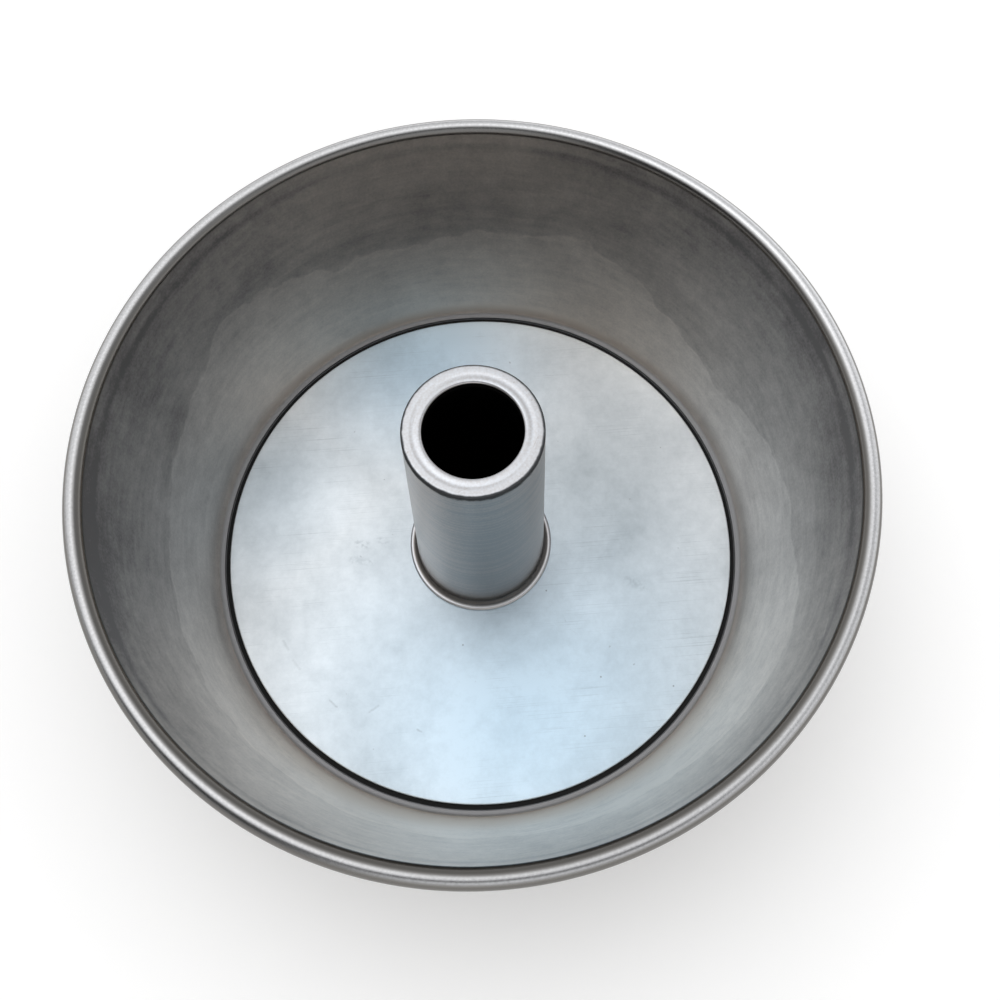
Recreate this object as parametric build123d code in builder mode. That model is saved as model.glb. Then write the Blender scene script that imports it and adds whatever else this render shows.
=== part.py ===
import math
import os

from build123d import *

# Angel food cake pan in spun aluminium. The pan is a flared wall with a rolled rim, which
# turns in at the bottom as a narrow ledge with a shallow recess. The base plate lies loose in
# the recess, and the tube is folded onto the plate, so the two lift out with the cake.
# Millimetres, +Z up, origin on the table at the middle of the pan.

# Pan, with radii to the inside face of its sheet
mouth_radius = 127.7         # at the height of the roll's middle
floor_radius = 105.9         # where the wall would meet the shoulder without their bend
wall_height = 100.4          # from the shoulder up to the roll's middle
pan_sheet = 1.2
corner_bend = 1.6            # inside bend between shoulder and wall
shoulder_width = 2.3         # from the recess's step out to where the wall would meet it
recess_depth = 1.2           # from the shoulder down to the ledge
ledge_width = 9.4            # from the ledge's cut edge out to the step
rim_diameter = 6.8           # across the roll
curl_gap = 0.4               # from the roll's cut edge to the outside of the wall

# Base plate
plate_sheet = 1.5
plate_edge_break = 0.4       # chamfer that takes the sharpness off the plate's rim
plate_gap = 1.9              # open groove between the plate and the step round it

# Tube, with radii to its outside face
tube_height = 118.7          # from the plate's top face to the tube's top ring
tube_top_radius = 23.15
tube_foot_radius = 25.5
tube_sheet = 0.8
mouth_hole_radius = 16.4     # the opening that a bottle's neck goes into
lip_length = 2.5             # straight wall of the opening, below its rounding
lip_bend = 0.1               # inside bend of the lip
shoulder_bend = 0.1          # inside bend of the tube's upper edge
foot_bend = 1.9              # the hollow between tube and foot bead
bead_width = 3.1             # how far the folded bead on the plate stands out from the tube
fold_gap = 0.2               # between the two layers of the bead
flange_width = 2.5           # how far the flange under the plate stands out from the tube
seat_clearance = 0.05        # between the tube's neck and the hole in the plate

# Levels and radii that follow from these sizes
ledge_top = pan_sheet
shoulder_top = ledge_top + recess_depth
plate_top = ledge_top + plate_sheet
tube_top = plate_top + tube_height
recess_radius = floor_radius - shoulder_width

os.makedirs("parts", exist_ok=True)

# The pan is one sheet, drawn by the middle line of that sheet. One run goes from the shoulder
# round the bend and straight up the wall, which passes into the roll without a kink. The other
# is the ledge and the step up from it, which ends in the shoulder.
pan_middle = pan_sheet / 2
wall_angle = math.atan2(wall_height, mouth_radius - floor_radius)
rim_radius = rim_diameter / 2
rim_center = (mouth_radius + rim_radius / math.sin(wall_angle), shoulder_top + wall_height)
step_middle = recess_radius + pan_middle
shoulder_middle = shoulder_top - pan_middle

# The roll ends where its cut edge comes close to the outside of the wall below it.
curl_start = 90 + math.degrees(wall_angle)
wall_distance = rim_radius - pan_sheet
curl_end = curl_start - 360 + math.degrees(math.acos((wall_distance - curl_gap) / rim_radius))

with BuildPart() as pan_body:
    with BuildSketch(Plane.XZ):
        with BuildLine():
            roll = CenterArc(rim_center, rim_radius - pan_middle, curl_start, curl_end - curl_start)
            FilletPolyline(
                (recess_radius, shoulder_middle),
                (floor_radius + pan_middle * math.tan(wall_angle / 2), shoulder_middle),
                roll @ 0,
                radius=corner_bend + pan_middle,
            )
        trace(line_width=pan_sheet)
        with BuildLine():
            Polyline(
                (recess_radius - ledge_width, pan_middle),
                (step_middle, pan_middle),
                (step_middle, shoulder_top),
            )
        trace(line_width=pan_sheet)
    revolve(axis=Axis.Z)
pan_body.part.label = "pan_body"
export_step(pan_body.part, "parts/pan_body.step")

with BuildPart() as base_plate:
    with BuildSketch(Plane.XY.offset(ledge_top)):
        Circle(recess_radius - plate_gap)
        Circle(tube_foot_radius + seat_clearance, mode=Mode.SUBTRACT)
    extrude(amount=plate_sheet)
    rim_edges = base_plate.edges().filter_by(GeomType.CIRCLE).group_by(SortBy.RADIUS)[-1]
    chamfer(rim_edges, length=plate_edge_break)
base_plate.part.label = "base_plate"
export_step(base_plate.part, "parts/base_plate.step")

# The tube is one sheet too. From the opening's lip its middle line runs over the top ring,
# down the tapered wall, out and back through the folded bead that sits on the plate, through
# the plate's hole, and out again as the flange that locks the plate from below.
tube_middle = tube_sheet / 2
fold_outer_radius = tube_sheet + fold_gap / 2
fold_middle_radius = fold_outer_radius - tube_middle
fold_center = (tube_foot_radius + bead_width - fold_outer_radius, plate_top + fold_outer_radius)
lip_end = tube_top - tube_sheet - lip_bend - lip_length
neck_middle = tube_foot_radius - tube_middle

with BuildPart() as center_tube:
    with BuildSketch(Plane.XZ):
        with BuildLine():
            fold = CenterArc(fold_center, fold_middle_radius, 90, -180)
            FilletPolyline(
                (mouth_hole_radius + tube_middle, lip_end),
                (mouth_hole_radius + tube_middle, tube_top - tube_middle),
                (tube_top_radius - tube_middle, tube_top - tube_middle),
                (neck_middle, fold_center[1] + fold_middle_radius),
                fold @ 0,
                radius=(lip_bend + tube_middle, shoulder_bend + tube_middle, foot_bend + tube_middle),
            )
            Polyline(
                fold @ 1,
                (neck_middle, plate_top + tube_middle),
                (neck_middle, ledge_top - tube_middle),
                (tube_foot_radius + flange_width, ledge_top - tube_middle),
            )
        trace(line_width=tube_sheet)
    revolve(axis=Axis.Z)
center_tube.part.label = "center_tube"
export_step(center_tube.part, "parts/center_tube.step")
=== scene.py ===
import math
import random

import bmesh
import bpy
import numpy as np
from mathutils import Matrix, Vector


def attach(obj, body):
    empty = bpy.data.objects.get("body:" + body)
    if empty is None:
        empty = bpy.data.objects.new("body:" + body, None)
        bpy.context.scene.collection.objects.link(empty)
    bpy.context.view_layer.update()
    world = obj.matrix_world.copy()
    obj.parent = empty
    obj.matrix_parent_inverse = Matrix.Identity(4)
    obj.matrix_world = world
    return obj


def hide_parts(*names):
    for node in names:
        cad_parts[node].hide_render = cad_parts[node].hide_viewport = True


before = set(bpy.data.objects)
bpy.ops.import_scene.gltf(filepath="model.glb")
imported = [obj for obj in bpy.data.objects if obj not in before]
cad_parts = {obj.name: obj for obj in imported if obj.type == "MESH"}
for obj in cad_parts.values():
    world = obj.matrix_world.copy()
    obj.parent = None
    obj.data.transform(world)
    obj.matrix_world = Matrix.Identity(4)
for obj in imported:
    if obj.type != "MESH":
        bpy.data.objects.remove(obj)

# Angel food cake pan: a spun aluminium wall with a rolled rim, a loose base plate in the
# recess of its ledge and a turned tube folded onto the plate. In metres, +Z up.
mm = 0.001
tiny = 0.01 * mm                     # places nearer to each other than this count as one
creaseAngle = math.radians(32)       # edges sharper than this show as creases
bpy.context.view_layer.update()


def linearColor(hexCode):
    # sRGB hex to the linear colour that shaders use
    parts = [int(hexCode[i:i + 2], 16) / 255 for i in (1, 3, 5)]
    return [p / 12.92 if p <= 0.04045 else ((p + 0.055) / 1.055) ** 2.4 for p in parts] + [1.0]


# Sections: rows of (radius, height) with the normal to the left of the way the line runs

def straightRows(start, end, step):
    start, end = np.array(start, float), np.array(end, float)
    run = end - start
    length = np.hypot(*run)
    count = max(int(length / step), 1)
    normal = np.array([-run[1], run[0]]) / length
    return [start + run * i / count for i in range(count + 1)], [normal] * (count + 1)


def arcRows(center, radius, fromAngle, toAngle, step):
    turn = toAngle - fromAngle
    count = max(int(abs(turn) * radius / step), 5)
    ways = [np.array([math.cos(fromAngle + turn * i / count), math.sin(fromAngle + turn * i / count)])
            for i in range(count + 1)]
    side = -1 if turn > 0 else 1
    return [np.array(center) + radius * way for way in ways], [side * way for way in ways]


def bentRows(corners, bends, rowSteps, arcStep):
    # straight runs from corner to corner, with an arc of its own radius in each inner corner
    places, normals = [], []
    start = np.array(corners[0], float)
    for i, bend in enumerate(bends):
        before, corner, after = (np.array(c, float) for c in corners[i:i + 3])
        into = (corner - before) / np.hypot(*(corner - before))
        out = (after - corner) / np.hypot(*(after - corner))
        turn = math.atan2(into[0] * out[1] - into[1] * out[0], into @ out)
        reach = bend * math.tan(abs(turn) / 2)
        arcStart = corner - into * reach
        side = 1 if turn > 0 else -1
        center = arcStart + side * bend * np.array([-into[1], into[0]])
        first = math.atan2(*(arcStart - center)[::-1])
        straight = straightRows(start, arcStart, rowSteps[i])
        for rows in (straight, arcRows(center, bend, first, first + turn, arcStep)):
            places += rows[0]
            normals += rows[1]
        start = corner + out * reach
    rows = straightRows(start, corners[-1], rowSteps[-1])
    return places + rows[0], normals + rows[1]


def joinRows(*runs):
    # puts runs end to end and drops rows that lie on top of each other
    places, normals = [], []
    for runPlaces, runNormals in runs:
        for place, normal in zip(runPlaces, runNormals):
            if places and np.hypot(*(place - places[-1])) < tiny:
                continue
            places.append(place)
            normals.append(normal)
    return places, normals


def sheetSides(rows, thickness, edgeBreak):
    # a sheet's showing side, its cut edge with broken corners, and its hidden side on the way back
    half = thickness / 2
    showing = [p + n * half for p, n in zip(*rows)]
    hidden = [p - n * half for p, n in zip(*rows)]
    place, normal = rows[0][-1], rows[1][-1]
    onward = np.array([normal[1], -normal[0]]) * edgeBreak
    cut = [place + normal * (half - edgeBreak) + onward, place - normal * (half - edgeBreak) + onward]
    return showing, cut, hidden[::-1]


def turned(name, outline, segments, unevenness, material):
    # revolves a closed outline about Z; unevenness gives how far each point strays in radius and height
    kept = [outline[0]]
    for place in outline[1:]:
        if np.hypot(*(place - kept[-1])) > tiny:
            kept.append(place)
    rows = np.array(kept)
    count = len(rows)
    angles = np.arange(segments) * 2 * math.pi / segments
    angle, row = np.meshgrid(angles, np.arange(count), indexing="ij")
    radius, height = rows[row][..., 0], rows[row][..., 1]
    outward, upward = unevenness(angle, radius, height)
    radius, height = radius + outward, height + upward
    corners = np.stack([radius * np.cos(angle), radius * np.sin(angle), height], -1)
    faces = []
    for i in range(segments):
        here, there = i * count, (i + 1) % segments * count
        for j in range(count):
            k = (j + 1) % count
            faces.append((here + j, here + k, there + k, there + j))
    mesh = bpy.data.meshes.new(name)
    mesh.from_pydata(corners.reshape(-1, 3).tolist(), [], faces)
    shell = bmesh.new()
    shell.from_mesh(mesh)
    bmesh.ops.recalc_face_normals(shell, faces=shell.faces)
    shell.to_mesh(mesh)
    shell.free()
    mesh.shade_smooth()
    mesh.set_sharp_from_angle(angle=creaseAngle)
    mesh.materials.append(material)
    piece = bpy.data.objects.new(name, mesh)
    bpy.context.scene.collection.objects.link(piece)
    return piece


def waves(seed, rounds, heights):
    # a smooth field of about unit size over angle and height, from a few sine waves
    draw = random.Random(seed)
    fullTurn = 2 * math.pi
    parts = [(k, draw.uniform(0, fullTurn), draw.choice(heights), draw.uniform(0, fullTurn),
              1 / (1 + 0.3 * k)) for k in rounds for _ in range(2)]
    total = sum(p[4] for p in parts)

    def field(angle, height):
        value = 0
        for k, turn, length, shift, size in parts:
            value = value + size * np.sin(k * angle + turn) * np.cos(fullTurn * height / length + shift)
        return value / total
    return field


# Materials

# settings that many nodes share: a soft step, the range in which noise really lies, a mix of
# colours and the commonest sums
smooth = {"interpolation_type": "SMOOTHSTEP"}
noiseRange = {"clamp": False, 1: 0.3, 2: 0.7}
colorMix = {"data_type": "RGBA"}
times, minus = {"operation": "MULTIPLY"}, {"operation": "SUBTRACT"}
larger, dot = {"operation": "MAXIMUM"}, {"operation": "DOT_PRODUCT"}


def addNode(tree, kind, settings=None, links=None):
    # one node, with its settings by property or socket, colours as hex; a linked node stands for its
    # first output in use
    node = tree.nodes.new("ShaderNode" + kind)
    for key, value in (settings or {}).items():
        if isinstance(key, str) and hasattr(node, key):
            setattr(node, key, value)
        else:
            node.inputs[key].default_value = linearColor(value) if isinstance(value, str) else value
    for key, source in (links or {}).items():
        if isinstance(source, bpy.types.Node):
            source = next(socket for socket in source.outputs if socket.enabled)
        tree.links.new(source, node.inputs[key])
    return node


def newMaterial(name):
    material = bpy.data.materials.new(name)
    material.use_nodes = True
    material.node_tree.nodes.clear()
    return material, material.node_tree


def roundPlaces(tree):
    # where a point is on a turned piece: its place, its radius, its height and its way round
    place = addNode(tree, "TexCoord").outputs["Object"]
    parts = addNode(tree, "SeparateXYZ", links={0: place})
    flat = addNode(tree, "CombineXYZ", links={0: parts.outputs[0], 1: parts.outputs[1]})
    radius = addNode(tree, "VectorMath", {"operation": "LENGTH"}, {0: flat})
    around = addNode(tree, "VectorMath", {"operation": "NORMALIZE"}, {0: flat})
    return place, radius, parts.outputs[2], around


def roundNoise(tree, around, along, turns, alongScale, detail=2.0):
    # noise drawn out round the axis: turns waves round the piece, alongScale waves a metre along it
    spun = addNode(tree, "VectorMath", {"operation": "SCALE", "Scale": turns / (2 * math.pi)}, {0: around})
    tall = addNode(tree, "Math", {**times, 1: alongScale}, {0: along})
    lifted = addNode(tree, "CombineXYZ", links={2: tall})
    spot = addNode(tree, "VectorMath", {"operation": "ADD"}, {0: spun, 1: lifted})
    return addNode(tree, "TexNoise", {"Scale": 1.0, "Detail": detail}, {"Vector": spot})


def strokeMask(tree, place, strokes):
    # scratches, specks and rubbed spots: (start, end, width, strength), strongest along the line
    # from start to end and gone at half the width from it
    total = None
    for start, end, width, strength in strokes:
        start, run = Vector(start), Vector(end) - Vector(start)
        reach = run / max(run.length_squared, tiny ** 2)
        away = addNode(tree, "VectorMath", {**minus, 1: start}, {0: place})
        share = addNode(tree, "VectorMath", {**dot, 1: reach}, {0: away})
        kept = addNode(tree, "Clamp", links={0: share})
        foot = addNode(tree, "VectorMath", {"operation": "SCALE", 0: run}, {"Scale": kept})
        gap = addNode(tree, "VectorMath", {"operation": "DISTANCE"}, {0: away, 1: foot})
        mask = addNode(tree, "MapRange", {**smooth, 2: width / 2, 3: strength, 4: 0.0}, {0: gap})
        total = mask if total is None else addNode(tree, "Math", larger, {0: total, 1: mask})
    return total


def marksAtLevel(marks, level):
    # marks with their ends as (x, y) and their width in mm, laid on a level face
    return [((*(v * mm for v in a), level), (*(v * mm for v in b), level), width * mm, strength)
            for a, b, width, strength in marks]


# Pan: spun from one aluminium sheet
panBody = {
    "mouthRadius": 127.7 * mm,       # inner face, level with the roll's middle
    "floorRadius": 105.9 * mm,       # where the wall would meet the shoulder
    "wallHeight": 100.4 * mm,
    "sheet": 1.2 * mm,
    "cornerBend": 1.6 * mm,
    "shoulderWidth": 2.3 * mm,
    "recessDepth": 1.2 * mm,
    "ledgeWidth": 9.4 * mm,
    "rimDiameter": 6.7 * mm,         # leaves the rim a little room for its unevenness
    "curlGap": 0.4 * mm,
    "edgeBreak": 0.15 * mm,
    "segments": 384,
    "wobble": 0.05 * mm,             # how far the wall strays from true
    "metal": "#faf6f1",              # scoured bright
    "warmMetal": "#fff4e8",          # a warm tint painted towards the near and the far side, against the bluish plate they mirror
    "scouredAndTintedWay": (0.03, -1.0, 0),   # the side that has been scoured most, and the axis of the painted warm tint
    "metalDull": "#7d7a7a",          # stained by years in the oven; also the darker end of the painted shade
    "lowerShade": (6 * mm, 45 * mm, -0.17),    # painted light: the foot of the wall brighter, where it mirrors the plate: the heights between which that fades, and its strength
    "footShade": (4 * mm, 11 * mm, -0.28),     # the heights between which that fades, and its strength
    "outsideDullness": 0.66,
    "dullness": 0.5,                 # how far the wall is from bright to dull where nothing else tells
    "crownHighlight": "#fafbfe",         # painted highlight along the roll's crown
    "flankShade": "#6b6966",         # painted shade on its flanks
    "highlightWay": (0.78, -0.62, 0),   # the side on which the crown's painted highlight is brightest
    "shoulderShade": "#999a9d",      # painted shade on the shoulder and its bend, by the groove along the plate
    # grime and painted gap shadow, in the corner by the base plate
    "grimeAndGapShadow": "#1c1d1e",
    "roughness": 0.34,
    "rimRoughness": 0.26,
    "shoulderRoughness": 0.55,
    "scouredRoughness": 0.5,         # the foot of the wall on the scoured side
    "clouds": (45 * mm, 0.09),       # the size and the strength of each kind of shade
    "streaks": (2.5 * mm, 0.05),
    "mottles": (6 * mm, 0.07),
    "grain": (0.9 * mm, 0.05),
    "ringPitch": 1.0 * mm,
    "ringRelief": (0.2, 0.02 * mm),  # the bump's strength and height
    "tideWave": (16 * mm, 3.0 * mm), # how long and how high the tide line's waves are
    "tideDullness": 0.14,            # above the tide line
    "fringe": (1.3 * mm, -0.05),     # the pale line along it, its half width and strength
    "rollShade": (5.5 * mm, 3 * mm, 0.13),     # a dull band: how far below the roll, half width, strength
    # broad painted light and shade on the wall: the way round in degrees, the cosine at which they start,
    # the heights between which they grow, and their strength, painted shade above nought and painted light
    # below
    "shades": (
        (-88, 0.05, 0, 2, -0.46), (-88, 0.3, 68, 98, 0.12), (180, 0.2, 50, 100, 0.28),
        (8, 0.2, 55, 100, 0.28), (-35, 0.7, 60, 100, 0.12), (-145, 0.7, 60, 100, 0.15),
        (92, 0.2, 60, 8, -0.2),
    ),
    "stainShift": 9 * mm,            # how far the stains' outlines are bent
    # stains and scuffs, as (start, end, width, strength), each end as (degrees round, height in mm)
    "stains": (
        ((98, 53), (96, 72), 26, 0.1), ((90, 50), (92, 70), 22, 0.08), ((122, 60), (106, 56), 24, 0.1),
        ((64, 49), (64, 56), 5, 0.1), ((72, 64), (56, 72), 20, 0.08), ((142, 70), (126, 68), 18, 0.08),
        ((-20, 74), (-14, 80), 16, 0.08), ((170, 52), (160, 56), 14, 0.1), ((30, 34), (42, 44), 10, 0.08),
    ),
    "scuffs": (
        ((-33, 96), (-30, 94), 1.8, 0.3), ((-41, 91), (-39, 93), 1.5, 0.25), ((-26, 88), (-25, 84), 1.5, 0.2),
        ((-120, 90), (-112, 91), 1.6, 0.15), ((-66, 60), (-62, 57), 1.5, 0.16),
        ((-98, 40), (-94, 42), 1.4, 0.14),
    ),
    # the highest line that water or batter has left, as (degrees round, height in mm)
    "tideMarks": (
        (-174, 44), (-160, 44), (-130, 47), (-100, 52), (-62, 60), (-27, 67), (-11, 50), (3, 46), (13, 41),
        (27, 27), (45, 40), (63, 57), (80, 52), (97, 49), (106, 51), (116, 48), (128, 60), (140, 67),
        (149, 56), (166, 49),
    ),
}


def spunAluminium(look):
    # Spun over a former and left as it came: satin, with fine rings round it, drawn at 1 mm where
    # real ones are finer. Washing has left a wavy tide line, clouds and streaks that go round with
    # the rings. The wall's foot is scoured matt on one side. Broad painted light and shade lie on the
    # wall, with painted light towards its foot and a warm tint painted on its near and far side. The
    # roll has a painted highlight along its crown and painted shade on its flanks. Black grime and
    # painted gap shadow sit in the corner by the base plate, and painted shade dulls the shoulder.
    material, tree = newMaterial("spunAluminium")
    place, radius, height, around = roundPlaces(tree)
    clouds = addNode(tree, "TexNoise", {"Scale": 1 / look["clouds"][0], "Detail": 4.0, "Distortion": 0.6},
                     {"Vector": place})
    streaks = roundNoise(tree, around, height, 36.0, 1 / look["streaks"][0], 3.0)
    along = addNode(tree, "Math", {}, {0: height, 1: radius})
    rings = roundNoise(tree, around, along, 6.0, 1 / look["ringPitch"])
    mottles = addNode(tree, "TexNoise", {"Scale": 1 / look["mottles"][0], "Detail": 3.0, "Roughness": 0.7},
                      {"Vector": place})
    grain = addNode(tree, "TexNoise", {"Scale": 1 / look["grain"][0], "Detail": 2.0}, {"Vector": place})

    # rise above the wall's end along the roll, nought on the wall
    beyond = addNode(tree, "Math", {**minus, 1: look["mouthRadius"]}, {0: radius})
    higher = addNode(tree, "Math", {**minus, 1: look["rollHeight"]}, {0: height})
    beyond = addNode(tree, "Math", {**larger, 1: 0.0}, {0: beyond})
    higher = addNode(tree, "Math", {**larger, 1: 0.0}, {0: higher})
    rollRise = addNode(tree, "Math", {}, {0: beyond, 1: higher})

    # height above the tide line, made wavy and ragged: crisp at its edge, with a pale fringe
    tide = addNode(tree, "Attribute", {"attribute_name": "tide"}).outputs["Fac"]
    wave = addNode(tree, "TexNoise", {"Scale": 1 / look["tideWave"][0], "Detail": 2.5}, {"Vector": place})
    bent = addNode(tree, "MapRange", {1: 0.3, 2: 0.7, 3: -look["tideWave"][1], 4: look["tideWave"][1]},
                   {0: wave})
    above = addNode(tree, "Math", {}, {0: tide, 1: bent})
    step = addNode(tree, "MapRange", {**smooth, 1: -0.9 * mm, 2: 1.2 * mm, 4: look["tideDullness"]},
                   {0: above})
    fringe = addNode(tree, "Math", {"operation": "ABSOLUTE"}, {0: above})
    halfWidth, strength = look["fringe"]
    fringe = addNode(tree, "MapRange", {**smooth, 2: halfWidth, 3: strength, 4: 0.0}, {0: fringe})
    dull = addNode(tree, "Math", {}, {0: step, 1: fringe})

    # painted light: the wall lighter towards its foot, where it mirrors the bright plate
    low, high, strength = look["lowerShade"]
    lower = addNode(tree, "MapRange", {1: low, 2: high, 3: strength, 4: 0.0}, {0: height})
    dull = addNode(tree, "Math", {}, {0: dull, 1: lower})
    low, high, strength = look["footShade"]
    foot = addNode(tree, "MapRange", {**smooth, 1: low, 2: high, 3: 1.0, 4: 0.0}, {0: height})
    dull = addNode(tree, "Math", {"operation": "MULTIPLY_ADD", 1: strength}, {0: foot, 2: dull})
    # broad painted light and shade on the wall, by the way round and the height
    for turn, start, low, high, strength in look["shades"]:
        way = (math.cos(math.radians(turn)), math.sin(math.radians(turn)), 0)
        facing = addNode(tree, "VectorMath", {**dot, 1: way}, {0: around})
        near = addNode(tree, "MapRange", {**smooth, 1: start, 2: 1.0, 4: strength}, {0: facing})
        share = addNode(tree, "MapRange", {1: low * mm, 2: high * mm}, {0: height})
        dull = addNode(tree, "Math", {"operation": "MULTIPLY_ADD"}, {0: near, 1: share, 2: dull})

    def onWall(marks):
        rows = []
        for a, b, width, strength in marks:
            ends = []
            for turn, up in (a, b):
                flare = look["mouthRadius"] - look["floorRadius"]
                out = look["floorRadius"] + flare * up * mm / look["wallHeight"]
                ends.append((out * math.cos(math.radians(turn)), out * math.sin(math.radians(turn)), up * mm))
            rows.append((*ends, width * mm, strength))
        return rows

    bend, half = look["stainShift"], look["stainShift"] / 2
    shift = addNode(tree, "VectorMath", {"operation": "SCALE", "Scale": bend}, {0: wave.outputs["Color"]})
    shifted = addNode(tree, "VectorMath", {}, {0: place, 1: shift})
    shifted = addNode(tree, "VectorMath", {**minus, 1: (half, half, half)}, {0: shifted})
    stains = strokeMask(tree, shifted, onWall(look["stains"]))
    scuffs = strokeMask(tree, place, onWall(look["scuffs"]))
    dull = addNode(tree, "Math", {}, {0: dull, 1: stains})
    dull = addNode(tree, "Math", minus, {0: dull, 1: scuffs})
    drop, halfWidth, strength = look["rollShade"]
    offBand = addNode(tree, "Math", {**minus, 1: look["rollHeight"] - drop}, {0: height})
    offBand = addNode(tree, "Math", {"operation": "ABSOLUTE"}, {0: offBand})
    band = addNode(tree, "MapRange", {**smooth, 2: halfWidth, 3: strength, 4: 0.0}, {0: offBand})
    dull = addNode(tree, "Math", {}, {0: dull, 1: band})
    dull = addNode(tree, "Math", {1: look["dullness"]}, {0: dull})

    # the wall's outside has none of this and is evenly dull
    slope = (look["mouthRadius"] - look["floorRadius"]) / look["wallHeight"]
    insideLine = addNode(tree, "Math", {"operation": "MULTIPLY_ADD", 1: slope,
                                        2: look["floorRadius"] - slope * look["shoulderTop"]}, {0: height})
    away = addNode(tree, "Math", minus, {0: radius, 1: insideLine})
    outside = addNode(tree, "MapRange", {1: look["sheet"] * 0.3, 2: look["sheet"] * 0.7}, {0: away})
    dull = addNode(tree, "Mix", {3: look["outsideDullness"]}, {0: outside, 2: dull})
    for noise, kind in ((clouds, "clouds"), (streaks, "streaks"), (mottles, "mottles"), (grain, "grain")):
        strength = look[kind][1]
        part = addNode(tree, "MapRange", {**noiseRange, 3: -strength, 4: strength}, {0: noise})
        dull = addNode(tree, "Math", {}, {0: dull, 1: part})
    dull = addNode(tree, "Clamp", links={0: dull})
    facing = addNode(tree, "VectorMath", {**dot, 1: look["scouredAndTintedWay"]}, {0: around})
    scoured = addNode(tree, "MapRange", {**smooth, 1: 0.1, 2: 0.9}, {0: facing})
    # a warm tint painted on the near and the far side of the wall
    across = addNode(tree, "Math", {"operation": "ABSOLUTE"}, {0: facing})
    across = addNode(tree, "MapRange", {**smooth, 1: 0.1, 2: 0.95}, {0: across})
    across = addNode(tree, "Mix", {3: 0.0}, {0: outside, 2: across})
    bright = addNode(tree, "Mix", {**colorMix, 6: look["metal"], 7: look["warmMetal"]}, {0: across})
    color = addNode(tree, "Mix", {**colorMix, 7: look["metalDull"]}, {0: dull, 6: bright})

    # painted shade: the shoulder and its bend darker, by the groove along the plate
    level = look["shoulderTop"]
    shoulder = addNode(tree, "MapRange", {**smooth, 1: level + 0.05 * mm, 2: level + 1.2 * mm,
                                          3: 1.0, 4: 0.0}, {0: height})
    color = addNode(tree, "Mix", {**colorMix, 7: look["shoulderShade"]}, {0: shoulder, 6: color})

    # the roll: a painted highlight along its crown and painted shade on its flanks, more so on the near side
    toFar = addNode(tree, "VectorMath", {**dot, 1: (0, 1, 0)}, {0: around})
    inner = addNode(tree, "MapRange", {"clamp": False, 1: -1.0, 2: 1.0, 3: -0.9 * mm, 4: 1.0 * mm},
                    {0: toFar})
    inner = addNode(tree, "Math", {}, {0: radius, 1: inner})
    rise = addNode(tree, "MapRange", {**smooth, 1: look["mouthRadius"] + 1.2 * mm,
                                      2: look["mouthRadius"] + 4 * mm}, {0: inner})
    fall = addNode(tree, "MapRange", {**smooth, 1: look["mouthRadius"] + 4.4 * mm,
                                      2: look["mouthRadius"] + 5.8 * mm, 3: 1.0, 4: 0.0}, {0: radius})
    crown = addNode(tree, "Math", times, {0: rise, 1: fall})
    grainy = addNode(tree, "MapRange", {**noiseRange, 3: 0.82, 4: 1.0}, {0: grain})
    crown = addNode(tree, "Math", times, {0: crown, 1: grainy})
    toBright = addNode(tree, "VectorMath", {**dot, 1: look["highlightWay"]}, {0: around})
    highlightSide = addNode(tree, "MapRange", {1: -0.6, 2: 0.6, 3: 0.62, 4: 1.0}, {0: toBright})
    crown = addNode(tree, "Math", {**times, "use_clamp": True}, {0: crown, 1: highlightSide})
    roll = addNode(tree, "Mix", {**colorMix, 6: look["flankShade"], 7: look["crownHighlight"]}, {0: crown})
    onRoll = addNode(tree, "MapRange", {**smooth, 1: 0.3 * mm, 2: 1.3 * mm}, {0: rollRise})
    upperHalf = addNode(tree, "MapRange", {1: look["rollHeight"] - 1.5 * mm, 2: look["rollHeight"]},
                        {0: height})
    onRoll = addNode(tree, "Math", times, {0: onRoll, 1: upperHalf})
    color = addNode(tree, "Mix", colorMix, {0: onRoll, 6: color, 7: roll})

    # grime and painted gap shadow on the upper face of the ledge
    inside = addNode(tree, "MapRange", {**smooth, 1: look["recessRadius"] - 0.3 * mm,
                                        2: look["recessRadius"] - 0.05 * mm, 3: 1.0, 4: 0.0}, {0: radius})
    upper = addNode(tree, "Math", {"operation": "GREATER_THAN", 1: look["sheet"] / 2}, {0: height})
    grimeAndGapShadow = addNode(tree, "Math", times, {0: inside, 1: upper})
    color = addNode(tree, "Mix", {**colorMix, 7: look["grimeAndGapShadow"]}, {0: grimeAndGapShadow, 6: color})
    metallic = addNode(tree, "Math", {**minus, 0: 1.0}, {1: grimeAndGapShadow})
    even = look["roughness"]
    roughness = addNode(tree, "MapRange", {"clamp": False, 3: even - 0.03, 4: even + 0.06}, {0: dull})
    low = addNode(tree, "MapRange", {**smooth, 1: 12 * mm, 2: 40 * mm, 3: 1.0, 4: 0.0}, {0: height})
    low = addNode(tree, "Math", times, {0: low, 1: scoured})
    low = addNode(tree, "Math", larger, {0: low, 1: foot})
    roughness = addNode(tree, "Mix", {3: look["scouredRoughness"]}, {0: low, 2: roughness})
    roughness = addNode(tree, "Mix", {3: look["rimRoughness"]}, {0: onRoll, 2: roughness})
    roughness = addNode(tree, "Mix", {3: look["shoulderRoughness"]}, {0: shoulder, 2: roughness})
    roughness = addNode(tree, "Mix", {3: 0.9}, {0: grimeAndGapShadow, 2: roughness})
    bump = addNode(tree, "Bump", {"Strength": look["ringRelief"][0], "Distance": look["ringRelief"][1]},
                   {"Height": rings})
    tangent = addNode(tree, "Tangent", {"direction_type": "RADIAL", "axis": "Z"})
    shader = addNode(tree, "BsdfPrincipled", {"Anisotropic": 0.3, "Anisotropic Rotation": 0.25},
                     {"Base Color": color, "Metallic": metallic, "Roughness": roughness,
                      "Normal": bump, "Tangent": tangent})
    addNode(tree, "OutputMaterial", links={"Surface": shader})
    return material


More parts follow.
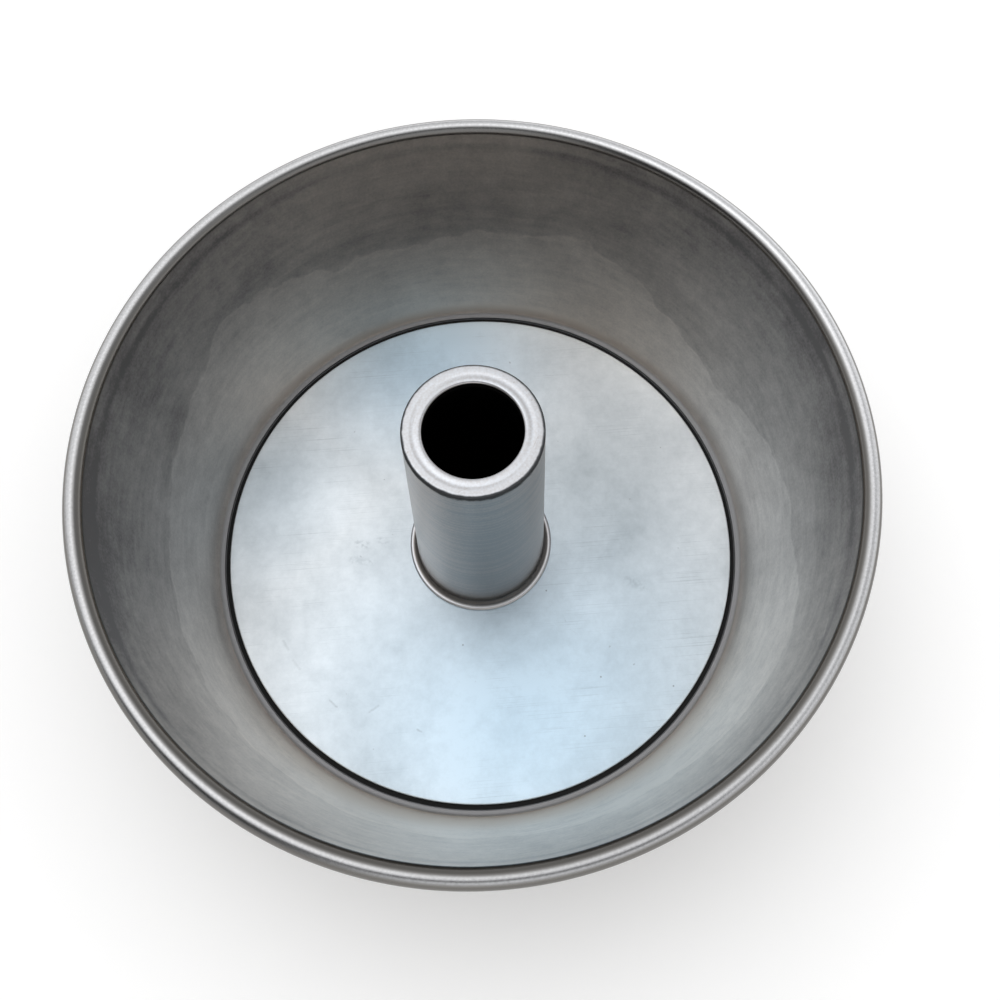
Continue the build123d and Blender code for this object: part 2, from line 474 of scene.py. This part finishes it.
def makePan(look):
    middle = look["sheet"] / 2
    shoulderTop = look["sheet"] + look["recessDepth"]
    look["recessRadius"] = look["floorRadius"] - look["shoulderWidth"]
    look["shoulderTop"] = shoulderTop
    look["rollHeight"] = shoulderTop + look["wallHeight"]
    stepBack = look["recessRadius"] + look["sheet"]
    wallAngle = math.atan2(look["wallHeight"], look["mouthRadius"] - look["floorRadius"])
    rimRadius = look["rimDiameter"] / 2
    rollCenter = (look["mouthRadius"] + rimRadius / math.sin(wallAngle), shoulderTop + look["wallHeight"])
    rollStart = math.pi / 2 + wallAngle
    rollEnd = rollStart - 2 * math.pi + math.acos((rimRadius - look["sheet"] - look["curlGap"]) / rimRadius)
    roll = arcRows(rollCenter, rimRadius - middle, rollStart, rollEnd, 0.3 * mm)
    wallFoot = (look["floorRadius"] + middle * math.tan(wallAngle / 2), shoulderTop - middle)
    bend = look["cornerBend"] + middle
    wallStart = (wallFoot[0] - bend * math.tan(wallAngle / 2) - 2 * tiny, wallFoot[1])
    wall = bentRows([wallStart, wallFoot, tuple(roll[0][0])], [bend], [1.0 * mm, 2.5 * mm], 0.25 * mm)
    showing, cut, hidden = sheetSides(joinRows(wall, roll), look["sheet"], look["edgeBreak"])
    cutEdge = look["recessRadius"] - look["ledgeWidth"]
    ledge = bentRows([(cutEdge, middle), (cutEdge, look["sheet"]), (look["recessRadius"], look["sheet"]),
                      (look["recessRadius"], shoulderTop), (wallFoot[0], shoulderTop)],
                     [0.2 * mm, 0.2 * mm, 0.35 * mm], [2.5 * mm] * 4, 0.15 * mm)[0]
    ledge = [p for p in ledge if p[0] < showing[0][0] or p[1] < shoulderTop - 0.05 * mm]
    under = bentRows([(stepBack, middle * 2), (stepBack, 0), (cutEdge, 0), (cutEdge, middle)],
                     [0.8 * mm, 0.2 * mm], [2.5 * mm] * 3, 0.15 * mm)[0]
    hidden = [p for p in hidden if p[0] > stepBack + 0.05 * mm or p[1] > 20 * mm]
    slow = waves(3, (2, 3, 4), (0.30, 0.45))
    quick = waves(8, (5, 7, 9, 13), (0.05, 0.08, 0.12))

    def unevenness(angle, radius, height):
        size = np.clip((height - 6 * mm) / (40 * mm), 0, 1) * np.clip((128 * mm - radius) / (6 * mm), 0, 1)
        outward = look["wobble"] * size * (0.6 * slow(angle, height) + 0.4 * quick(angle, height))
        return outward, 0 * angle

    outline = ledge + showing + cut + hidden + under
    pan = turned("panBody", outline, look["segments"], unevenness, spunAluminium(look))
    # each point's height above the tide line, for its material
    tide = pan.data.attributes.new("tide", "FLOAT", "POINT")
    marks = sorted(look["tideMarks"])
    spots = np.array([v.co for v in pan.data.vertices])
    around = np.degrees(np.arctan2(spots[:, 1], spots[:, 0]))
    line = np.interp(around, [m[0] for m in marks], [m[1] * mm for m in marks], period=360)
    tide.data.foreach_set("value", (spots[:, 2] - line).astype(np.float32))
    return pan


# Base plate: a disc cut from rolled sheet
basePlate = {
    "sheet": 1.5 * mm,
    "radius": 101.7 * mm,
    "holeRadius": 25.55 * mm,
    "level": 1.2 * mm,               # its underside, on the ledge
    "edgeRounding": 0.55 * mm,
    "segments": 384,
    "warp": 0.04 * mm,
    "metal": "#f0f5f9",
    "metalDull": "#bec6cb",
    "skyTint": "#def1fe",           # painted reflection of a blue sky, laid over the metal's colour
    "speck": "#5d666d",
    "roughness": 0.42,
    "clouds": (38 * mm, 0.2, 0.52),  # their size, and the dullness from their lightest to their darkest
    "mottles": (5 * mm, 0.13),       # their size and strength
    "hairlines": (20, 75, 130),      # the ways in degrees that the fine scratches run
    "hairLength": 45 * mm,
    "hairWidth": 0.5 * mm,
    "hairDullness": 0.35,
    "hairRelief": (0.1, 0.02 * mm),  # the bump's strength and height
    "speckCell": 9 * mm,
    "speckShare": 0.28,              # of the cells that have a speck
    "speckRadius": (0.02, 0.055),    # as a share of the cell, at full strength and faded
    "speckStrength": 0.55,
    "shake": (1.5 * mm, 0.6 * mm),   # how far apart and how strongly the marks' outlines are bent
    # wear, as (start, end, width, strength) in mm on the top face
    "darkMarks": (
        ((-48.9, -2.0), (-47.9, -2.6), 0.9, 0.83), ((-35.5, 6.4), (-35.3, 6.2), 1.0, 0.68),
        ((-23.3, -37.2), (-23.1, -37.1), 0.9, 0.85), ((18.3, 80.5), (18.5, 80.3), 1.3, 0.68),
        ((-5.7, -55.9), (-5.6, -55.7), 0.9, 0.85), ((47.7, -46.6), (47.9, -46.5), 1.1, 0.85),
        ((56.4, -54.1), (56.7, -54.0), 1.0, 0.75), ((15.7, -36.1), (15.8, -35.9), 0.9, 0.6),
        ((63.0, 13.7), (63.3, 13.8), 0.9, 0.6), ((-50.0, 52.7), (-49.7, 52.9), 1.0, 0.6),
        ((20.2, -52.5), (23.0, -57.8), 0.7, 0.38), ((31.1, -34.2), (33.4, -38.6), 0.7, 0.45),
        ((33.4, -38.6), (37.0, -42.0), 0.7, 0.45), ((-62.0, -58.5), (-59.5, -61.0), 1.4, 0.33),
        ((-47.0, -64.0), (-43.5, -62.0), 1.6, 0.27), ((-80.0, -34.0), (-78.0, -37.5), 1.8, 0.14),
        ((-76.0, -42.0), (-73.5, -45.5), 1.8, 0.12), ((-29.0, -72.0), (-27.5, -73.0), 1.3, 0.38),
    ),
    "rubbedSpots": (
        ((-49.5, 3.6), (-46.0, 2.6), 5.0, 0.45), ((-40.6, 4.2), (-38.2, 3.4), 4.0, 0.4),
        ((-52.0, -3.0), (-44.0, -5.0), 5.0, 0.25), ((58.0, -20.0), (64.0, -24.0), 6.0, 0.2),
    ),
    # broad painted light and shade: the middle, the radius and the strength, painted shade above nought and
    # painted light below
    "shades": (
        ((48, 26), 62, 0.45), ((-92, 40), 30, 0.3), ((-58, 18), 26, -0.3), ((10, -50), 70, -0.25),
        ((0, 104), 42, -0.5), ((0, -104), 60, -0.25), ((80, 60), 26, -0.2), ((-70, -62), 40, -0.1),
    ),
    # painted reflection of a blue sky: the middle, the radius and the strength of each patch
    "blueShades": (((14, -76), 130, 1.0), ((-20, 92), 75, 1.0), ((-90, 30), 60, 0.3)),
}


def rolledAluminium(look):
    # Cold rolled sheet: bright and even, so it mirrors what is above it softly. Use has left
    # cloudy shades, specks, hairline scratches and rubbed spots. Broad painted light and shade and a
    # painted blue reflection of the sky lie on it. Grime and painted gap shadow blacken its edge.
    material, tree = newMaterial("rolledAluminium")
    place, radius = roundPlaces(tree)[:2]
    top = look["level"] + look["sheet"]
    cloudSize, light, dark = look["clouds"]
    clouds = addNode(tree, "TexNoise", {"Scale": 1 / cloudSize, "Detail": 4.0, "Distortion": 0.5},
                     {"Vector": place})
    dull = addNode(tree, "MapRange", {**noiseRange, 3: light, 4: dark}, {0: clouds})
    mottleSize, strength = look["mottles"]
    mottles = addNode(tree, "TexNoise", {"Scale": 1 / mottleSize, "Detail": 4.0, "Roughness": 0.7},
                      {"Vector": place})
    mottled = addNode(tree, "MapRange", {**noiseRange, 3: -strength, 4: strength}, {0: mottles})
    dull = addNode(tree, "Math", {}, {0: dull, 1: mottled})
    # broad painted light and shade on the plate
    for (x, y), reach, strength in look["shades"]:
        away = addNode(tree, "VectorMath", {"operation": "DISTANCE", 1: (x * mm, y * mm, top)}, {0: place})
        shade = addNode(tree, "MapRange", {**smooth, 2: reach * mm, 3: strength, 4: 0.0}, {0: away})
        dull = addNode(tree, "Math", {}, {0: dull, 1: shade})

    # hairlines 0.1 mm wide, drawn at 0.5 mm so that they show, in patches
    patches = addNode(tree, "TexNoise", {"Scale": 1 / (30 * mm), "Detail": 1.0}, {"Vector": place})
    hair = None
    stretch = (1 / look["hairLength"], 1 / look["hairWidth"], 0)
    for i, turn in enumerate(look["hairlines"]):
        laid = addNode(tree, "Mapping", {"Rotation": (0, 0, math.radians(turn)), "Location": (i, 0, 0),
                                         "Scale": stretch}, {0: place})
        lines = addNode(tree, "TexNoise", {"Scale": 1.0, "Detail": 1.0, "Distortion": 0.4},
                        {"Vector": laid})
        lines = addNode(tree, "MapRange", {1: 0.66, 2: 0.76}, {0: lines})
        hair = lines if hair is None else addNode(tree, "Math", larger, {0: hair, 1: lines})
    patchy = addNode(tree, "MapRange", {1: 0.45, 2: 0.65}, {0: patches})
    hair = addNode(tree, "Math", times, {0: hair, 1: patchy})

    # specks of dirt: one to a cell 9 mm wide, and only in a few of the cells
    cells = addNode(tree, "TexVoronoi", {"Scale": 1 / look["speckCell"]}, {"Vector": place})
    chosen = addNode(tree, "SeparateColor", links={0: cells.outputs["Color"]})
    few = addNode(tree, "Math", {"operation": "GREATER_THAN", 1: 1 - look["speckShare"]}, {0: chosen})
    core, faded = look["speckRadius"]
    small = addNode(tree, "MapRange", {**smooth, 1: core, 2: faded, 3: look["speckStrength"], 4: 0.0},
                    {0: cells.outputs["Distance"]})
    specks = addNode(tree, "Math", times, {0: few, 1: small})

    shakeSize, shakeReach = look["shake"]
    shaken = addNode(tree, "TexNoise", {"Scale": 1 / shakeSize, "Detail": 1.0}, {"Vector": place})
    shift = addNode(tree, "VectorMath", {"operation": "SCALE", "Scale": shakeReach},
                    {0: shaken.outputs["Color"]})
    shifted = addNode(tree, "VectorMath", {}, {0: place, 1: shift})
    dark = strokeMask(tree, shifted, marksAtLevel(look["darkMarks"], top))
    dark = addNode(tree, "Math", larger, {0: dark, 1: specks})
    rubbed = strokeMask(tree, shifted, marksAtLevel(look["rubbedSpots"], top))
    broken = addNode(tree, "MapRange", {1: 0.42, 2: 0.58}, {0: shaken})
    rubbed = addNode(tree, "Math", times, {0: rubbed, 1: broken})
    dull = addNode(tree, "Math", {}, {0: dull, 1: rubbed})
    scratched = addNode(tree, "Math", {**times, 1: look["hairDullness"]}, {0: hair})
    dull = addNode(tree, "Math", {"use_clamp": True}, {0: dull, 1: scratched})
    # a painted blue reflection of the sky, multiplied over the metal's colour
    blue = None
    for (x, y), reach, strength in look["blueShades"]:
        away = addNode(tree, "VectorMath", {"operation": "DISTANCE", 1: (x * mm, y * mm, top)}, {0: place})
        part = addNode(tree, "MapRange", {**smooth, 2: reach * mm, 3: strength, 4: 0.0}, {0: away})
        blue = part if blue is None else addNode(tree, "Math", larger, {0: blue, 1: part})
    color = addNode(tree, "Mix", {**colorMix, 6: look["metal"], 7: look["metalDull"]}, {0: dull})
    color = addNode(tree, "Mix", {**colorMix, "blend_type": "MULTIPLY", 7: look["skyTint"]},
                    {0: blue, 6: color})
    color = addNode(tree, "Mix", {**colorMix, 7: look["speck"]}, {0: dark, 6: color})
    # grime and painted gap shadow along the plate's edge
    edge = addNode(tree, "MapRange", {**smooth, 1: look["radius"] - 0.08 * mm,
                                      2: look["radius"] - 0.02 * mm, 4: 0.8}, {0: radius})
    color = addNode(tree, "Mix", {**colorMix, 7: panBody["grimeAndGapShadow"]}, {0: edge, 6: color})
    roughness = addNode(tree, "MapRange", {3: look["roughness"], 4: look["roughness"] + 0.06}, {0: dull})
    bump = addNode(tree, "Bump", {"Strength": look["hairRelief"][0], "Distance": look["hairRelief"][1]},
                   {"Height": hair})
    metallic = addNode(tree, "Math", {**minus, 0: 1.0}, {1: edge})
    shader = addNode(tree, "BsdfPrincipled", links={"Base Color": color, "Metallic": metallic,
                                                    "Roughness": roughness, "Normal": bump})
    addNode(tree, "OutputMaterial", links={"Surface": shader})
    return material


def makeBasePlate(look):
    hole, rim = look["holeRadius"], look["radius"]
    low, high = look["level"], look["level"] + look["sheet"]
    start = (hole, (low + high) / 2)
    outline = bentRows([start, (hole, high), (rim, high), (rim, low), (hole, low), start],
                       [0.15 * mm, look["edgeRounding"], 0.4 * mm, 0.15 * mm], [2.5 * mm] * 5, 0.12 * mm)[0]
    slow = waves(5, (1, 2, 3), (0.09, 0.14))

    def unevenness(angle, radius, height):
        size = np.clip((radius - 30 * mm) / (20 * mm), 0, 1) * np.clip((93 * mm - radius) / (10 * mm), 0, 1)
        return 0 * angle, look["warp"] * size * slow(angle, radius)

    return turned("basePlate", outline, look["segments"], unevenness, rolledAluminium(look))


# Tube: turned and folded from one aluminium tube
centerTube = {
    "height": 118.7 * mm,            # above the plate's top face
    "topRadius": 23.15 * mm,
    "footRadius": 25.5 * mm,
    "sheet": 0.8 * mm,
    "mouthRadius": 16.4 * mm,
    "lipLength": 2.5 * mm,
    "lipBend": 0.1 * mm,
    "shoulderBend": 0.1 * mm,
    "footBend": 1.9 * mm,
    "beadWidth": 3.1 * mm,
    "foldGap": 0.2 * mm,
    "flangeWidth": 2.5 * mm,
    "neckBend": 0.42 * mm,           # to the sheet's middle line
    "edgeBreak": 0.12 * mm,
    "grooveDepth": 0.09 * mm,        # the shallow groove round the top ring
    "segments": 192,
    "metal": "#aea7a2",
    "metalDull": "#8f9294",
    "ringMetal": "#d5d9df",          # the top ring, rubbed bright; also the painted highlight on the foot's bead
    # painted shade inside the tube's bore, black with a little brown
    "boreShade": "#060607",
    "boreShadeBrown": "#0d0b0a",
    "cornerDarkening": "#3a3d40",          # a dark line in the corner under the top ring, and painted shade in the hollow at the foot
    "darkLineDepth": 3.2 * mm,          # down the side from the top ring
    "roughness": 0.28,
    "ringPitch": 1.3 * mm,
    "topRingPitch": 1.1 * mm,
    "ringRelief": (0.5, 0.03 * mm),  # the bump's strength and height
    "cloudSize": 18 * mm,
    "grainSize": 0.7 * mm,
    "raggedSize": 3 * mm,            # of the dirt's outline
    # broad painted light and shade on the side: the way round in degrees, the cosine at which they start, the
    # strength, painted shade above nought and painted light below
    "shades": ((-82, 0.45, 0.45), (-150, 0.5, -0.25), (-10, 0.6, -0.1)),
    "scratches": (
        ((-19.2, 3.0), (-18.1, 6.4), 0.5, 0.35), ((18.6, -7.5), (20.4, -4.0), 0.5, 0.3),
        ((-6.0, -20.6), (-2.5, -19.4), 0.5, 0.25), ((9.5, 17.2), (12.5, 16.6), 0.5, 0.3),
        ((-21.2, -6.3), (-20.9, -6.0), 0.9, 0.5), ((14.2, 15.5), (14.5, 15.6), 0.8, 0.4),
        ((19.4, 8.6), (19.6, 8.8), 0.8, 0.45),
    ),
}


def turnedAluminium(look):
    # Turned on a lathe: satin, with rings at a pitch of about 0.4 mm, drawn at 1.3 mm so that they
    # show. Broad painted light and shade lie on the side, and the foot's bead has a painted highlight.
    # A dark line runs under the top ring, and painted shade lies in the hollow at the foot.
    material, tree = newMaterial("turnedAluminium")
    place, radius, height, around = roundPlaces(tree)
    rings = roundNoise(tree, around, height, 2.0, 1 / look["ringPitch"], 1.0)
    topRings = roundNoise(tree, around, radius, 1.5, 1 / look["topRingPitch"])
    clouds = addNode(tree, "TexNoise", {"Scale": 1 / look["cloudSize"], "Detail": 4.0}, {"Vector": place})
    grain = addNode(tree, "TexNoise", {"Scale": 1 / look["grainSize"], "Detail": 2.0}, {"Vector": place})
    rough = addNode(tree, "TexNoise", {"Scale": 1 / look["raggedSize"], "Detail": 3.0}, {"Vector": place})
    dull = addNode(tree, "MapRange", {**noiseRange, 3: 0.15, 4: 0.55}, {0: clouds})
    # broad painted light and shade round the side
    for turn, start, strength in look["shades"]:
        way = (math.cos(math.radians(turn)), math.sin(math.radians(turn)), 0)
        facing = addNode(tree, "VectorMath", {**dot, 1: way}, {0: around})
        shade = addNode(tree, "MapRange", {**smooth, 1: start, 2: 1.0, 4: strength}, {0: facing})
        dull = addNode(tree, "Math", {}, {0: dull, 1: shade})
    lines = addNode(tree, "MapRange", {**noiseRange, 3: -0.34, 4: 0.34}, {0: rings})
    dull = addNode(tree, "Math", {}, {0: dull, 1: lines})
    speckle = addNode(tree, "MapRange", {**noiseRange, 3: -0.3, 4: 0.3}, {0: grain})
    dull = addNode(tree, "Math", {}, {0: dull, 1: speckle})
    foot = look["footRadius"]
    # painted highlight: the outer part of the foot's bead lighter
    beadHighlight = addNode(tree, "MapRange", {1: foot + 1.2 * mm, 2: foot + 2.2 * mm, 4: -0.8}, {0: radius})
    dull = addNode(tree, "Math", {}, {0: dull, 1: beadHighlight})
    # a paler band below the dark line under the top ring
    band = addNode(tree, "MapRange", {**smooth, 1: look["top"] - 9 * mm,
                                      2: look["top"] - 3 * mm, 4: -0.3}, {0: height})
    dull = addNode(tree, "Math", {"use_clamp": True}, {0: dull, 1: band})
    color = addNode(tree, "Mix", {**colorMix, 6: look["metal"], 7: look["metalDull"]}, {0: dull})
    # the painted highlight on the bead's outer edge, in the top ring's colour
    rubbed = addNode(tree, "MapRange", {1: foot + 1.5 * mm, 2: foot + 2.3 * mm, 4: 0.8}, {0: radius})
    color = addNode(tree, "Mix", {**colorMix, 7: look["ringMetal"]}, {0: rubbed, 6: color})

    # the top ring, with faint turned rings, fine grain and a few scratches
    onTop = addNode(tree, "MapRange", {1: look["boreTop"] + 0.3 * mm, 2: look["boreTop"] + 0.7 * mm},
                    {0: height})
    tone = addNode(tree, "MapRange", {**noiseRange, 3: 0.1, 4: 0.45}, {0: topRings})
    fine = addNode(tree, "MapRange", {**noiseRange, 3: -0.15, 4: 0.15}, {0: grain})
    tone = addNode(tree, "Math", {}, {0: tone, 1: fine})
    scratches = strokeMask(tree, place, marksAtLevel(look["scratches"], look["top"]))
    tone = addNode(tree, "Math", {"use_clamp": True}, {0: tone, 1: scratches})
    ring = addNode(tree, "Mix", {**colorMix, 6: look["ringMetal"], 7: look["metal"]}, {0: tone})
    color = addNode(tree, "Mix", colorMix, {0: onTop, 6: color, 7: ring})

    # a ragged dark line round the top ring's outer edge, and painted shade in the hollow above the foot's
    # bead
    ragged = addNode(tree, "MapRange", {**noiseRange, 3: -0.14 * mm, 4: 0.14 * mm}, {0: rough})
    outer = addNode(tree, "Math", {}, {0: radius, 1: ragged})
    outer = addNode(tree, "MapRange", {**smooth, 1: look["topRadius"] - 1.1 * mm,
                                       2: look["topRadius"] - 0.4 * mm, 4: 0.92}, {0: outer})
    deeper = addNode(tree, "Math", {"operation": "MULTIPLY_ADD", 1: 5.0}, {0: ragged, 2: height})
    upper = addNode(tree, "MapRange", {**smooth, 1: look["top"] - look["darkLineDepth"],
                                       2: look["top"] - look["darkLineDepth"] / 2}, {0: deeper})
    line = addNode(tree, "Math", times, {0: outer, 1: upper})
    hollow = addNode(tree, "MapRange", {**smooth, 1: look["footTop"] + 0.3 * mm,
                                        2: look["footTop"] + 3.5 * mm, 3: 0.6, 4: 0.0}, {0: height})
    inner = addNode(tree, "MapRange", {**smooth, 1: foot + 1.3 * mm,
                                       2: foot + 2.1 * mm, 3: 1.0, 4: 0.0}, {0: radius})
    hollow = addNode(tree, "Math", times, {0: hollow, 1: inner})
    cornerDark = addNode(tree, "Math", larger, {0: line, 1: hollow})
    color = addNode(tree, "Mix", {**colorMix, 7: look["cornerDarkening"]}, {0: cornerDark, 6: color})

    roughness = addNode(tree, "MapRange", {3: look["roughness"], 4: look["roughness"] + 0.3}, {0: cornerDark})
    bump = addNode(tree, "Bump", {"Strength": look["ringRelief"][0], "Distance": look["ringRelief"][1]},
                   {"Height": rings})
    shader = addNode(tree, "BsdfPrincipled", {"Metallic": 1.0},
                     {"Base Color": color, "Roughness": roughness, "Normal": bump})
    addNode(tree, "OutputMaterial", links={"Surface": shader})
    return material


def paintedBoreShade(look):
    # Painted shade inside the tube's bore: matt and black, with a little brown and a crumbly surface
    material, tree = newMaterial("paintedBoreShade")
    place = addNode(tree, "TexCoord").outputs["Object"]
    boreNoise = addNode(tree, "TexNoise", {"Scale": 1 / (1.2 * mm), "Detail": 4.0}, {"Vector": place})
    color = addNode(tree, "Mix", {**colorMix, 6: look["boreShade"], 7: look["boreShadeBrown"]}, {0: boreNoise})
    bump = addNode(tree, "Bump", {"Strength": 0.3, "Distance": 0.05 * mm}, {"Height": boreNoise})
    shader = addNode(tree, "BsdfPrincipled", {"Roughness": 1.0, "Specular IOR Level": 0.05},
                     {"Base Color": color, "Normal": bump})
    addNode(tree, "OutputMaterial", links={"Surface": shader})
    return material


def makeTube(look):
    plateTop = basePlate["level"] + basePlate["sheet"]
    top = plateTop + look["height"]
    middle = look["sheet"] / 2
    look["boreTop"] = top - look["sheet"]
    look["top"] = top
    look["footTop"] = plateTop + 2 * look["sheet"] + look["foldGap"]
    foldOuter = look["sheet"] + look["foldGap"] / 2
    foldRadius = foldOuter - middle
    foldCenter = (look["footRadius"] + look["beadWidth"] - foldOuter, plateTop + foldOuter)
    lipEnd = top - look["sheet"] - look["lipBend"] - look["lipLength"]
    neck = look["footRadius"] - middle
    below = basePlate["level"] - middle
    fold = arcRows(foldCenter, foldRadius, math.pi / 2, -math.pi / 2, 0.15 * mm)
    upper = bentRows(
        [(look["mouthRadius"] + middle, lipEnd), (look["mouthRadius"] + middle, top - middle),
         (look["topRadius"] - middle, top - middle), (neck, foldCenter[1] + foldRadius), tuple(fold[0][0])],
        [look["lipBend"] + middle, look["shoulderBend"] + middle, look["footBend"] + middle],
        [1.0 * mm, 0.3 * mm, 2.0 * mm, 0.5 * mm], 0.12 * mm)
    lower = bentRows(
        [tuple(fold[0][-1]), (neck, plateTop + middle), (neck, below),
         (look["footRadius"] + look["flangeWidth"], below)],
        [look["neckBend"], look["neckBend"]], [1.0 * mm] * 3, 0.12 * mm)
    showing, cut, hidden = sheetSides(joinRows(upper, fold, lower), look["sheet"], look["edgeBreak"])
    grooveMiddle = (look["mouthRadius"] + look["topRadius"]) / 2 - 0.6 * mm

    def unevenness(angle, radius, height):
        near = np.clip(abs(radius - grooveMiddle) / (1.5 * mm), 0, 1)
        onTop = height > top - 0.1 * mm
        return 0 * angle, -look["grooveDepth"] * onTop * 0.5 * (1 + np.cos(math.pi * near))

    tube = turned("centerTube", showing + cut + hidden, look["segments"], unevenness, turnedAluminium(look))
    tube.data.materials.append(paintedBoreShade(look))
    # the faces inside the bore get the painted shade
    for face in tube.data.polygons:
        x, y, z = face.center
        taper = (look["footRadius"] - look["topRadius"]) * (top - z) / look["height"]
        wallMiddle = look["topRadius"] + taper - middle
        if math.hypot(x, y) < wallMiddle and basePlate["level"] < z < look["boreTop"]:
            face.material_index = 1
    return tube


print("making the pan")
pan = makePan(panBody)
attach(pan, "pan")
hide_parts("pan_body")

print("making the base plate")
plate = makeBasePlate(basePlate)
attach(plate, "base_insert")
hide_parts("base_plate")

print("making the tube")
tube = makeTube(centerTube)
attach(tube, "base_insert")
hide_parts("center_tube")


# Studio: a pale floor under a soft white sky, brightest overhead
studio = {
    "floorSize": 60.0,
    "floorColor": "#e8e8e8",
    "floorGlow": 0.55,               # what the camera and the metal see of the floor beside the sky's light
    "shadeReach": 0.22,
    "dim": 0.0,                      # the room away from the glows
    # soft glows: the way to the middle, the cosines at which it starts and is full, and its strength
    "glows": (
        ((0.0, 0.0, 1.0), 0.883, 0.998, 0.71),
        ((0.0, 0.375, 0.927), 0.883, 0.998, 0.6),
        ((0.375, 0.0, 0.927), 0.883, 0.998, 0.41),
        ((-0.375, 0.0, 0.927), 0.883, 0.998, 0.74),
        ((0.0, 0.707, 0.707), 0.743, 0.996, 0.3),
        ((-0.612, 0.354, 0.707), 0.743, 0.996, 0.72),
        ((0.0, 0.94, 0.342), 0.743, 0.996, 0.42),
        ((0.814, 0.47, 0.342), 0.743, 0.996, 0.72),
        ((0.814, -0.47, 0.342), 0.743, 0.996, 0.74),
        ((0.0, -0.94, 0.342), 0.743, 0.996, 0.82),
        ((-0.814, 0.47, 0.342), 0.743, 0.996, 0.25),
    ),
    "horizon": 1.0,                  # a pale band behind the object in level views
}


def makeFloor(look):
    material, tree = newMaterial("paintedFloor")
    rays = addNode(tree, "LightPath")
    seen = addNode(tree, "Math", larger,
                   {0: rays.outputs["Is Camera Ray"], 1: rays.outputs["Is Glossy Ray"]})
    seen = addNode(tree, "Math", larger, {0: seen, 1: rays.outputs["Is Transmission Ray"]})
    shade = addNode(tree, "AmbientOcclusion", {"samples": 8, "Distance": look["shadeReach"]}).outputs["AO"]
    soft = addNode(tree, "Math", {"operation": "POWER", 1: 1.5}, {0: shade})
    glow = addNode(tree, "Math", {**times, 1: look["floorGlow"]}, {0: soft})
    glow = addNode(tree, "Math", times, {0: glow, 1: seen})
    matt = addNode(tree, "BsdfDiffuse", {"Color": look["floorColor"]})
    light = addNode(tree, "Emission", {"Color": [1, 1, 1, 1]}, {"Strength": glow})
    both = addNode(tree, "AddShader", links={0: matt, 1: light})
    addNode(tree, "OutputMaterial", links={"Surface": both})
    half = look["floorSize"] / 2
    mesh = bpy.data.meshes.new("floor")
    corners = [(-half, -half, 0), (half, -half, 0), (half, half, 0), (-half, half, 0)]
    mesh.from_pydata(corners, [], [(0, 1, 2, 3)])
    mesh.materials.append(material)
    floor = bpy.data.objects.new("floor", mesh)
    bpy.context.scene.collection.objects.link(floor)


def makeSky(look):
    world = bpy.data.worlds.new("sky")
    world.use_nodes = True
    tree = world.node_tree
    tree.nodes.clear()
    way = addNode(tree, "TexCoord").outputs["Generated"]
    strength = None
    for axis, start, full, amount in look["glows"]:
        facing = addNode(tree, "VectorMath", {**dot, 1: Vector(axis).normalized()}, {0: way})
        glow = addNode(tree, "MapRange", {**smooth, 1: start, 2: full, 4: amount}, {0: facing})
        strength = glow if strength is None else addNode(tree, "Math", {}, {0: strength, 1: glow})
    up = addNode(tree, "SeparateXYZ", links={0: way}).outputs[2]
    band = addNode(tree, "MapRange", {**smooth, 1: 0.10, 2: 0.36, 3: look["horizon"], 4: look["dim"]},
                   {0: up})
    strength = addNode(tree, "Math", {}, {0: strength, 1: band})
    back = addNode(tree, "Background", {"Color": [1, 1, 1, 1]}, {"Strength": strength})
    addNode(tree, "OutputWorld", links={"Surface": back})
    bpy.context.scene.world = world


# Camera at the photograph's place: fitted to the outlines of the rim, the plate and the tube
view = {
    "elevation": 72.65,
    "distance": 489.4 * mm,          # from the middle of the plate's top face
    "yaw": -2.45,
    "pitch": 7.38,
    "roll": -4.39,
    "focalShare": 1.188,             # focal length as a share of the frame's width
    "middleShare": (0.5202, 0.3843), # where the lens points, as a share of the frame from its top left
    "sensor": 36.0,
}


def makeCamera(look):
    elevation, yaw, pitch, roll = (math.radians(look[k]) for k in ("elevation", "yaw", "pitch", "roll"))
    back = np.array([0, -math.cos(elevation), math.sin(elevation)])
    right = np.array([1.0, 0, 0])
    axes = np.array([right, np.cross(back, right), back])
    turnY = np.array([[math.cos(yaw), 0, -math.sin(yaw)], [0, 1, 0], [math.sin(yaw), 0, math.cos(yaw)]])
    turnX = np.array([[1, 0, 0], [0, math.cos(pitch), math.sin(pitch)],
                      [0, -math.sin(pitch), math.cos(pitch)]])
    turnZ = np.array([[math.cos(roll), math.sin(roll), 0], [-math.sin(roll), math.cos(roll), 0], [0, 0, 1]])
    axes = turnZ @ turnX @ turnY @ axes
    place = back * look["distance"] + np.array([0, 0, basePlate["level"] + basePlate["sheet"]])
    lens = bpy.data.cameras.new("camera")
    lens.sensor_width = look["sensor"]
    lens.lens = look["focalShare"] * look["sensor"]
    lens.shift_x = 0.5 - look["middleShare"][0]
    lens.shift_y = look["middleShare"][1] - 0.5
    lens.clip_start = 10 * mm
    camera = bpy.data.objects.new("camera", lens)
    camera.matrix_world = Matrix.Translation(place.tolist()) @ Matrix(axes.T.tolist()).to_4x4()
    bpy.context.scene.collection.objects.link(camera)
    bpy.context.scene.camera = camera


print("setting the studio")
makeFloor(studio)
makeSky(studio)
makeCamera(view)
bpy.context.scene.view_settings.view_transform = "Standard"
